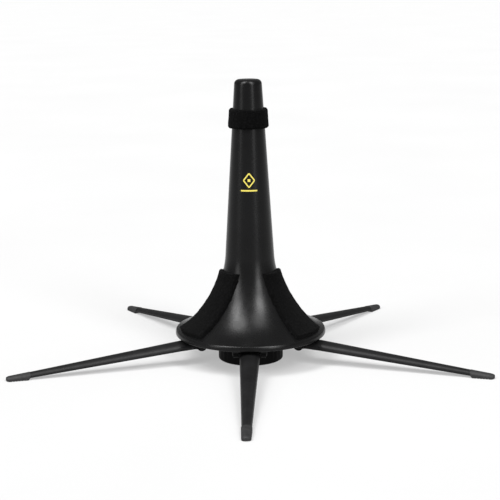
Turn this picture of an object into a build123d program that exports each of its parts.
"""Trumpet stand: a felt-lined plastic cone on a hub with five folding steel legs.

Millimetres, +Z up. The origin is on the cone's axis, on the plane that the feet stand on.
The first leg points along -Y, and the others follow at equal steps.
"""
from build123d import *
import os
from math import atan, degrees, hypot, sqrt

# ---- driving dimensions ------------------------------------------------------
# cone
CONE_TOP = 171.6             # top of the cone above the floor
RIM_RADIUS = 46.0            # flange radius
RIM_BOTTOM = 16.6            # underside of the flange
CONE_WALL = 2.2              # moulding thickness
NECK_TAPER = 0.0633          # radius gained per millimetre down the straight neck
NECK_TOP_RADIUS = 8.22       # neck radius just under the domed end
DOME_EDGE = 2.0              # height of the rounded end above the straight neck
DOME_RISE = 0.2              # crown of the end face
FLARE_TOP = 66.0             # height where the straight neck turns into the flare
FLARE_BEND = (15.9, 43.4)    # upper control point of the flare curve (radius, height)
FLARE_SPREAD = (32.6, 24.0)  # lower control point of the flare curve
FLARE_END = (45.0, 19.9)     # where the flare meets the rounded rim
RIM_EDGE = 1.0               # rounding of the rim's lower edge

# felt
FELT = 2.35                  # felt thickness
GLUE = 0.05                  # glue line under the felt and in the throat
FIT = 0.01                   # gap that keeps pressed or moulded-in faces from overlapping
MARGIN = 1.0                 # how far a cutting shape reaches past what it cuts
FELT_RING = (142.5, 154.4)   # lower and upper edge of the band round the neck
FELT_WIDTHS = (19.6, 27.0)   # width of each flare pad at its upper and lower end
FELT_TOP = 56.1              # upper end of the pads
FELT_BOTTOM_RADIUS = 43.1    # the pads stop just short of the rim
PAD_OVERRUN = 0.4            # how far the cut of a pad's sides runs past its ends, as a share
# middle of each pad's upper and lower end, degrees from +X
FELT_RUNS = ((-147.9, -150.5), (-24.9, -32.3), (90.0, 90.0))

# legs
LEG_COUNT = 5
LEG_TIP = 149.5              # radius at the tip, for the leg's taper
LEG_END = 136.2              # where the steel channel stops inside its foot
CROWN_TIP = 2.76             # height of the leg's crown at the tip
CROWN_SLOPE = 0.1134         # crown height gained per millimetre towards the hub
LEG_TIP_WIDTH = 4.6
LEG_WIDTH_TAPER = 0.0661
LEG_TIP_DEPTH = 2.63
LEG_DEPTH_TAPER = 0.0203
LEG_SHEET = 1.2              # steel thickness
ARCH_SHARE = 0.8             # share of the depth that is half-round; the rest is straight skirt
PIVOT_X = 33.5               # hinge pin radius from the stand's axis
PIVOT_Z = 13.2               # hinge pin height
EAR_RADIUS = 3.1             # round of the leg's ears about the pin
EAR_RISE = 0.3               # how much higher the ears' lower edge is one radius past the pin
EAR_TAIL = 44.0              # where the ears have faded into the channel
TANG = (2.4, 1.2, 145.0)     # width, thickness and end of the tang inside the foot
TANG_ROOT = 3.0              # how far the tang starts back from the channel's end
TANG_DROP = 1.5              # middle of the tang below the crown

# feet
FOOT_START = 136.2
FOOT_END = 150.2
FOOT_OVERSIZE = 0.6          # how much wider the foot is than the leg
HEEL_SLANT = 1.2
HEEL_HEIGHT = 1.45           # the slanted part of the heel
TOE_RADIUS = 2.4
FOOT_EDGE = 0.4              # rounding of the foot's side outline
FOOT_SKIRT = 6.0             # straight sides below the half-round top, before the sole is cut

# hub
HUB_UNDERSIDE = 17.0
HUB_PLATE = 3.2
HUB_GAP = 0.4                # clearance between the hub plate and the flange
SPIGOT_RADIUS = 8.0          # foot of the column, set in the hub plate
COLUMN_RADIUS = 10.5
COLUMN_TOP = 45.0
COLUMN_FLANGE = (16.0, 3.0)  # radius and thickness of the column's foot flange
SCREW_COUNT = 3
SCREW_CIRCLE = 12.6
SCREW_RADIUS = 1.5
SCREW_HEAD = 2.8             # radius of the countersunk head
SCREW_LENGTH = 5.8
SCREW_TURN = 30              # degrees from +X to the first screw
LUG_RADIUS = 3.3
LUG_THICKNESS = 3.0
LUG_SIDE_GAP = 0.5           # each side of the leg at the pin
LUG_REACH = (28.8, 40.5)     # inner and outer radius of the lugs under the plate
LUG_EDGES = (2.0, 1.0)       # depth of their inner and outer edges below the plate
STOP_START = 36.6            # the stop that an open leg's crown meets
STOP_GAP = 0.3
PIN_RADIUS = 1.6
PIN_CLEARANCE = 0.05
PIN_HEAD = (2.4, 0.7)        # radius and thickness of the rivet heads

# knob and tie bolt
KNOB_RADIUS = 19.8
KNOB_BOTTOM = 0.4
KNOB_TOP = 16.4
KNOB_CHAMFER = 0.8
FLUTE_COUNT = 30
FLUTE_RADIUS = 1.1
FLUTE_DEPTH = 0.45
KNOB_RECESS = (7.4, 3.6)     # radius and depth of the recess under the bolt head
BOLT_RADIUS = 3.0            # M6, threads drawn as a plain shank
BOLT_HEAD = (10.0, 4.0)      # across flats, height
BOLT_TIP = 57.0
BOLT_CHAMFER = 0.6
BOLT_CLEARANCE = 0.06
BUSH_RADIUS = 4.8
BUSH_TOP = 42.0
WASHER = (8.6, 1.3)          # radius and thickness of the thrust washer
WASHER_GAP = 0.3
WASHER_PLAY = (0.05, 0.1)    # gap outside the washer and gap round the bolt
CLIP = (6.0, 2.5, 0.9, 42.9)  # outer radius, inner radius, thickness, height
CLIP_OPENING = 4.0           # width of the clip's gap
CLIP_PLAY = 0.05             # gap above and below the clip in its groove
CLIP_POCKET = (6.6, 2.6)     # radius and depth of the pocket in the column's top

# throat
PLUG = (45.3, 58.0)          # lower and upper face of the plug
PLUG_BORE = 3.6              # radius of the bolt's way through the plug
INSERT_RADIUS = 4.5
INSERT = (46.5, 57.6)


# ---- helpers -----------------------------------------------------------------
def cylinder(radius, low, high):
    """Upright cylinder on the stand's axis."""
    return Pos(0, 0, (low + high) / 2) * Cylinder(radius, high - low)


def side_prism(outline, width):
    """Solid of an outline drawn in the X-Z plane, centred on Y."""
    face = make_face(outline)
    return extrude(face, amount=width / 2, dir=(0, 1, 0), both=True)


def at_leg(index, shape):
    """Turn a shape built along +X to the leg with this index."""
    return Rot(0, 0, -90 + index * 360 / LEG_COUNT) * shape


def flare_point(t, inset=0.0):
    """Point on the flare's curve, a cubic Bezier, moved inwards along its normal."""
    start = (neck_radius(FLARE_TOP), FLARE_TOP)
    points = (start, FLARE_BEND, FLARE_SPREAD, FLARE_END)
    weights = ((1 - t) ** 3, 3 * (1 - t) ** 2 * t, 3 * (1 - t) * t * t, t ** 3)
    slopes = ((1 - t) ** 2, 2 * (1 - t) * t, t * t)
    radius = sum(w * p[0] for w, p in zip(weights, points))
    height = sum(w * p[1] for w, p in zip(weights, points))
    along_r = sum(s * (b[0] - a[0]) for s, a, b in zip(slopes, points, points[1:]))
    along_z = sum(s * (b[1] - a[1]) for s, a, b in zip(slopes, points, points[1:]))
    length = hypot(along_r, along_z)
    return radius + inset * along_z / length, height - inset * along_r / length


def neck_radius(height):
    """Outer radius of the straight, tapered neck."""
    return NECK_TOP_RADIUS + NECK_TAPER * (CONE_TOP - DOME_EDGE - height)


def flare_parameter(test):
    """Curve parameter where the test first turns true, by bisection."""
    low, high = 0.0, 1.0
    for _ in range(40):
        middle = (low + high) / 2
        if test(*flare_point(middle)):
            high = middle
        else:
            low = middle
    return high


def flare_curve(start, end, inset, steps=8):
    """Smooth curve along the flare, parallel to its surface."""
    points = []
    for step in range(steps + 1):
        radius, height = flare_point(start + (end - start) * step / steps, inset)
        points.append((radius, 0, height))
    return Spline(*points)


def cone_edges(inset):
    """Edges from the flare's lower end up to the axis, parallel to the outer surface."""
    top = CONE_TOP - inset
    edge = NECK_TOP_RADIUS - inset
    shoulder = (edge, 0, top - DOME_EDGE)
    rounding = DOME_EDGE - DOME_RISE
    dome_start = (edge - rounding, 0, top - DOME_RISE)
    diagonal = rounding / sqrt(2)
    round_over = (dome_start[0] + diagonal, 0, shoulder[2] + diagonal)
    half_way = dome_start[0] / 2
    sphere = (dome_start[0] ** 2 + DOME_RISE ** 2) / (2 * DOME_RISE)
    half_way_height = top - sphere + sqrt(sphere ** 2 - half_way ** 2)
    neck_low = flare_point(0, inset)
    return [
        flare_curve(1, 0, inset),
        Line((neck_low[0], 0, neck_low[1]), shoulder),
        ThreePointArc(shoulder, round_over, dome_start),
        ThreePointArc(dome_start, (half_way, 0, half_way_height), (0, 0, top)),
    ]


def cone_core(inset, low):
    """Everything inside the cone's outer surface, less the inset, down to a height."""
    rim = flare_point(1, inset)
    outline = Curve() + cone_edges(inset)
    outline += Polyline((0, 0, CONE_TOP - inset), (0, 0, low), (rim[0], 0, low), (rim[0], 0, rim[1]))
    return revolve(make_face(outline), Axis.Z, 360)


# ---- cone --------------------------------------------------------------------
def cone_shell():
    """Hollow moulding: straight neck, flare and a rounded rim, open below."""
    end_r, end_z = FLARE_END
    inner = flare_point(1, CONE_WALL)
    corner = RIM_EDGE * 0.3
    outline = Curve() + cone_edges(0) + cone_edges(CONE_WALL)
    outline += Line((0, 0, CONE_TOP), (0, 0, CONE_TOP - CONE_WALL))
    outline += ThreePointArc((end_r, 0, end_z), (RIM_RADIUS - corner, 0, end_z - corner),
                             (RIM_RADIUS, 0, end_z - RIM_EDGE))
    outline += Line((RIM_RADIUS, 0, end_z - RIM_EDGE), (RIM_RADIUS, 0, RIM_BOTTOM + RIM_EDGE))
    outline += ThreePointArc((RIM_RADIUS, 0, RIM_BOTTOM + RIM_EDGE),
                             (RIM_RADIUS - corner, 0, RIM_BOTTOM + corner), (end_r, 0, RIM_BOTTOM))
    outline += Polyline((end_r, 0, RIM_BOTTOM), (inner[0], 0, RIM_BOTTOM), (inner[0], 0, inner[1]))
    return revolve(make_face(outline), Axis.Z, 360)


def neck_felt_ring():
    """Felt band round the neck, following its taper."""
    low, high = FELT_RING
    inner_low, inner_high = neck_radius(low) + GLUE, neck_radius(high) + GLUE
    outline = Polyline(
        (inner_low, 0, low), (inner_low + FELT, 0, low),
        (inner_high + FELT, 0, high), (inner_high, 0, high), close=True)
    return revolve(make_face(outline), Axis.Z, 360)


def pad_corners(radius, width, angle):
    """Both corners of one end of a pad, seen from above."""
    along = sqrt(radius ** 2 - width ** 2 / 4)
    return [Vector(along, side * width / 2, 0).rotate(Axis.Z, angle) for side in (-1, 1)]


def flare_felt(top_angle, bottom_angle):
    """Felt pad down the flare, wider towards the rim; its sides are straight seen from above."""
    start = flare_parameter(lambda radius, height: height < FELT_TOP)
    end = flare_parameter(lambda radius, height: radius > FELT_BOTTOM_RADIUS)
    inner = flare_curve(start, end, -GLUE)
    outer = flare_curve(start, end, -GLUE - FELT)
    ends = [Line(inner @ 0, outer @ 0), Line(inner @ 1, outer @ 1)]
    sleeve = revolve(make_face(Curve() + [inner, outer] + ends), Axis.Z, 360)
    top = pad_corners(flare_point(start)[0], FELT_WIDTHS[0], top_angle)
    bottom = pad_corners(FELT_BOTTOM_RADIUS, FELT_WIDTHS[1], bottom_angle)
    above = [high - (low - high) * PAD_OVERRUN for high, low in zip(top, bottom)]
    below = [low + (low - high) * PAD_OVERRUN for high, low in zip(top, bottom)]
    plan = Polyline(above[0], below[0], below[1], above[1], close=True)
    return sleeve & extrude(make_face(plan), amount=CONE_TOP, dir=(0, 0, 1))


def socket_plug():
    """Plug glued in the throat, with the bore for the brass insert."""
    low, high = PLUG
    plug = cone_core(CONE_WALL + GLUE, RIM_BOTTOM) & cylinder(RIM_RADIUS, low, high)
    plug -= cylinder(INSERT_RADIUS, INSERT[0], high)
    return plug - cylinder(PLUG_BORE, low, high)


def threaded_insert():
    """Brass insert; the thread is drawn as a plain bore that clears the bolt."""
    low, high = INSERT
    return cylinder(INSERT_RADIUS - FIT, low, high) - cylinder(BOLT_RADIUS + BOLT_CLEARANCE, low, high)


# ---- legs and feet -----------------------------------------------------------
def crown_height(x):
    """Height of a leg's crown at a distance from the stand's axis."""
    return CROWN_TIP + CROWN_SLOPE * (LEG_TIP - x)


def leg_depth(x):
    return LEG_TIP_DEPTH + LEG_DEPTH_TAPER * (LEG_TIP - x)


def leg_width(x):
    return LEG_TIP_WIDTH + LEG_WIDTH_TAPER * (LEG_TIP - x)


def arch_section(x, inset, skirt):
    """Half-round section with straight skirts, in the plane across the leg."""
    half = leg_width(x) / 2 - inset
    arch = leg_depth(x) * ARCH_SHARE
    rise = arch - inset
    spring = crown_height(x) - arch
    outline = Curve() + [
        EllipticalCenterArc((0, 0), half, rise, start_angle=0, arc_size=180),
        Polyline((-half, 0), (-half, -skirt), (half, -skirt), (half, 0)),
    ]
    across = Plane(origin=(x, 0, spring), x_dir=(0, 1, 0), z_dir=(1, 0, 0))
    return across * make_face(outline)


def arch_beam(start, end, inset, skirt):
    """Tapered beam between two arch sections."""
    return loft([arch_section(start, inset, skirt), arch_section(end, inset, skirt)], ruled=True)


def leg_side():
    """Side outline of the steel: straight channel, deeper ears, round root."""
    root_top = crown_height(PIVOT_X) + 2 * MARGIN
    tail_low = crown_height(EAR_TAIL) - leg_depth(EAR_TAIL)
    end_low = crown_height(LEG_END) - leg_depth(LEG_END)
    return Curve() + [
        ThreePointArc((PIVOT_X, 0, PIVOT_Z + EAR_RADIUS), (PIVOT_X - EAR_RADIUS, 0, PIVOT_Z),
                      (PIVOT_X, 0, PIVOT_Z - EAR_RADIUS)),
        Polyline((PIVOT_X, 0, PIVOT_Z - EAR_RADIUS),
                 (PIVOT_X + EAR_RADIUS, 0, PIVOT_Z - EAR_RADIUS + EAR_RISE),
                 (EAR_TAIL, 0, tail_low), (LEG_END, 0, end_low), (LEG_END, 0, root_top),
                 (PIVOT_X, 0, root_top), (PIVOT_X, 0, PIVOT_Z + EAR_RADIUS)),
    ]


def pin_hole(radius, width):
    """Cylinder along Y through the hinge."""
    return Pos(PIVOT_X, 0, PIVOT_Z) * Rot(90, 0, 0) * Cylinder(radius, width)


def tang_block(clearance=0.0):
    """Flat tongue under the crown that carries the foot."""
    width, thickness, end = TANG
    start = LEG_END - TANG_ROOT
    middle = (start + end) / 2
    drop = degrees(atan(CROWN_SLOPE))
    size = (end - start, width + 2 * clearance, thickness + 2 * clearance)
    return Pos(middle, 0, crown_height(middle) - TANG_DROP) * Rot(0, drop, 0) * Box(*size)


def leg():
    """Pressed steel channel with ears for the hinge pin and a tang for the foot."""
    start = PIVOT_X - EAR_RADIUS - MARGIN
    skirt = EAR_RADIUS * 2
    channel = arch_beam(start, LEG_END, 0, skirt)
    channel -= arch_beam(start - MARGIN, LEG_END + MARGIN, LEG_SHEET, skirt + MARGIN)
    channel &= side_prism(leg_side(), leg_width(0) * 2)
    channel -= pin_hole(PIN_RADIUS + PIN_CLEARANCE, leg_width(0) * 2)
    return channel + tang_block()


def foot():
    """Moulded end cap: flat sole, slanted heel, round toe."""
    body = arch_beam(FOOT_START - FIT, FOOT_END + MARGIN, -FOOT_OVERSIZE / 2, FOOT_SKIRT)
    top = crown_height(FOOT_START) + 2 * MARGIN
    side = FilletPolyline(
        (FOOT_START, 0, top), (FOOT_START, 0, HEEL_HEIGHT), (FOOT_START + HEEL_SLANT, 0, 0),
        (FOOT_END, 0, 0), (FOOT_END, 0, top), radius=FOOT_EDGE, close=True)
    body &= side_prism(side, leg_width(0) * 2)
    half = leg_width(FOOT_START) / 2 + FOOT_OVERSIZE
    plan = Pos((FOOT_START + FOOT_END) / 2, 0, top / 2) * Box(FOOT_END - FOOT_START, 2 * half, 2 * top)
    toe = plan.edges().filter_by(Axis.Z).group_by(Axis.X)[-1]
    body &= fillet(toe, TOE_RADIUS)
    return body - tang_block(2 * FIT)


# ---- hub ---------------------------------------------------------------------
def lug_outline():
    """Side outline of a hinge lug under the hub plate."""
    inner, outer = LUG_REACH
    inner_edge, outer_edge = LUG_EDGES
    top = HUB_UNDERSIDE + MARGIN
    return Curve() + [
        ThreePointArc((PIVOT_X - LUG_RADIUS, 0, PIVOT_Z), (PIVOT_X, 0, PIVOT_Z - LUG_RADIUS),
                      (PIVOT_X + LUG_RADIUS, 0, PIVOT_Z)),
        Polyline((PIVOT_X + LUG_RADIUS, 0, PIVOT_Z), (outer, 0, HUB_UNDERSIDE - outer_edge),
                 (outer, 0, top), (inner, 0, top), (inner, 0, HUB_UNDERSIDE - inner_edge),
                 (PIVOT_X - LUG_RADIUS, 0, PIVOT_Z)),
    ]


def leg_socket():
    """One hinge: two lugs, with the stop for the open leg between them."""
    slot = leg_width(PIVOT_X) + 2 * LUG_SIDE_GAP
    outer_width = slot + 2 * LUG_THICKNESS
    lugs = side_prism(lug_outline(), outer_width)
    outer = LUG_REACH[1]
    lugs -= Pos(PIVOT_X, 0, HUB_UNDERSIDE / 2) * Box(2 * outer, slot, HUB_UNDERSIDE)
    top = HUB_UNDERSIDE + MARGIN
    stop = side_prism(Polyline(
        (STOP_START, 0, crown_height(STOP_START) + STOP_GAP), (outer, 0, crown_height(outer) + STOP_GAP),
        (outer, 0, top), (STOP_START, 0, top), close=True), slot + MARGIN)
    return (lugs + stop) - pin_hole(PIN_RADIUS, outer_width + MARGIN)


def hub_body():
    """Plate that fills the flange, with five pairs of hinge lugs below."""
    plate_top = HUB_UNDERSIDE + HUB_PLATE
    body = cone_core(CONE_WALL + HUB_GAP, RIM_BOTTOM)
    body &= cylinder(flare_point(1, CONE_WALL)[0] - HUB_GAP, HUB_UNDERSIDE, plate_top)
    for index in range(LEG_COUNT):
        body += at_leg(index, leg_socket())
    body -= cylinder(SPIGOT_RADIUS + FIT, HUB_UNDERSIDE - MARGIN, plate_top + MARGIN)
    for screw in hub_screws():
        body -= screw
    return body


def centre_column():
    """Hollow column that the cone's plug sits on, screwed to the plate by its flange."""
    plate_top = HUB_UNDERSIDE + HUB_PLATE
    flange_radius, flange_thickness = COLUMN_FLANGE
    column = cylinder(SPIGOT_RADIUS, HUB_UNDERSIDE, plate_top + MARGIN)
    column += cylinder(flange_radius, plate_top, plate_top + flange_thickness)
    column += cylinder(COLUMN_RADIUS, plate_top, COLUMN_TOP)
    column -= cylinder(BUSH_RADIUS, HUB_UNDERSIDE - MARGIN, COLUMN_TOP + MARGIN)
    pocket_radius, pocket_depth = CLIP_POCKET
    column -= cylinder(pocket_radius, COLUMN_TOP - pocket_depth, COLUMN_TOP + MARGIN)
    for screw in hub_screws():
        column -= screw
    return column


def hub_screws():
    """Countersunk screws from under the plate into the column's flange."""
    head_height = SCREW_HEAD - SCREW_RADIUS
    head = Pos(0, 0, head_height / 2) * Cone(SCREW_HEAD, SCREW_RADIUS, head_height)
    shank = Pos(0, 0, SCREW_LENGTH / 2) * Cylinder(SCREW_RADIUS, SCREW_LENGTH)
    screw = Pos(SCREW_CIRCLE, 0, HUB_UNDERSIDE) * (head + shank)
    return [Rot(0, 0, SCREW_TURN + index * 360 / SCREW_COUNT) * screw for index in range(SCREW_COUNT)]


def pivot_pin():
    """Hinge pin with a rivet head outside each lug."""
    grip = leg_width(PIVOT_X) + 2 * LUG_SIDE_GAP + 2 * LUG_THICKNESS
    head_radius, head_thickness = PIN_HEAD
    pin = pin_hole(PIN_RADIUS - FIT, grip)
    head = pin_hole(head_radius, head_thickness)
    for side in (-1, 1):
        pin += Pos(0, side * (grip + head_thickness) / 2, 0) * head
    return pin


def hub_bush():
    """Plain sleeve in the column that the tie bolt turns in."""
    sleeve = cylinder(BUSH_RADIUS - FIT, HUB_UNDERSIDE, BUSH_TOP)
    return sleeve - cylinder(BOLT_RADIUS + BOLT_CLEARANCE, HUB_UNDERSIDE, BUSH_TOP)


# ---- knob --------------------------------------------------------------------
def tie_bolt():
    """Hexagon-headed bolt with a groove for the retaining clip."""
    across_flats, head_height = BOLT_HEAD
    head_low = KNOB_BOTTOM + KNOB_RECESS[1]
    hexagon = RegularPolygon(across_flats / 2, 6, major_radius=False)
    head = extrude(Pos(0, 0, head_low) * hexagon, amount=head_height)
    shank = cylinder(BOLT_RADIUS, head_low, BOLT_TIP)
    shank = chamfer(shank.edges().group_by(Axis.Z)[-1], BOLT_CHAMFER)
    _, inner, thickness, height = CLIP
    groove = cylinder(BOLT_RADIUS + MARGIN, height - CLIP_PLAY, height + thickness + CLIP_PLAY)
    groove -= cylinder(inner, height - MARGIN, height + thickness + MARGIN)
    return head + shank - groove


def knob():
    """Round hand knob with upright grip flutes, moulded round the bolt's head."""
    body = cylinder(KNOB_RADIUS, KNOB_BOTTOM, KNOB_TOP)
    body = chamfer(body.edges().filter_by(GeomType.CIRCLE), KNOB_CHAMFER)
    flute = cylinder(FLUTE_RADIUS, KNOB_BOTTOM - MARGIN, KNOB_TOP + MARGIN)
    flute = Pos(KNOB_RADIUS + FLUTE_RADIUS - FLUTE_DEPTH, 0, 0) * flute
    flutes = [Rot(0, 0, index * 360 / FLUTE_COUNT) * flute for index in range(FLUTE_COUNT)]
    body -= flutes
    recess_radius, recess_depth = KNOB_RECESS
    body -= cylinder(recess_radius, KNOB_BOTTOM - MARGIN, KNOB_BOTTOM + recess_depth)
    seat_low = HUB_UNDERSIDE - WASHER_GAP - WASHER[1]
    body -= cylinder(WASHER[0] + WASHER_PLAY[0], seat_low, KNOB_TOP + MARGIN)
    return body - tie_bolt()


def thrust_washer():
    """Plastic washer in the knob's top that the hub runs on."""
    radius, thickness = WASHER
    high = HUB_UNDERSIDE - WASHER_GAP
    bore = cylinder(BOLT_RADIUS + WASHER_PLAY[1], high - thickness, high)
    return cylinder(radius, high - thickness, high) - bore


def retaining_clip():
    """Spring clip in the bolt's groove; its gap lets it snap on."""
    outer, inner, thickness, height = CLIP
    ring = cylinder(outer, height, height + thickness) - cylinder(inner, height, height + thickness)
    return ring - Pos(outer / 2 + MARGIN, 0, height) * Box(outer, CLIP_OPENING, 4 * thickness)


# ---- the assembly ------------------------------------------------------------
def assembly():
    """Every node of the stand by name."""
    nodes = {
        "cone_shell": cone_shell(),
        "neck_felt_ring": neck_felt_ring(),
        "socket_plug": socket_plug(),
        "threaded_insert": threaded_insert(),
        "hub_body": hub_body(),
        "centre_column": centre_column(),
        "hub_screws": Compound(children=hub_screws()),
        "hub_bush": hub_bush(),
        "knob": knob(),
        "tie_bolt": tie_bolt(),
        "thrust_washer": thrust_washer(),
        "retaining_clip": retaining_clip(),
    }
    for number, run in enumerate(FELT_RUNS, start=1):
        nodes[f"flare_felt_{number}"] = flare_felt(*run)
    one_leg, one_foot, one_pin = leg(), foot(), pivot_pin()
    for index in range(LEG_COUNT):
        nodes[f"leg_{index + 1}"] = at_leg(index, one_leg)
        nodes[f"foot_{index + 1}"] = at_leg(index, one_foot)
        nodes[f"pivot_pin_{index + 1}"] = at_leg(index, one_pin)
    return nodes


os.makedirs("parts", exist_ok=True)
for name, shape in assembly().items():
    export_step(shape, f"parts/{name}.step")
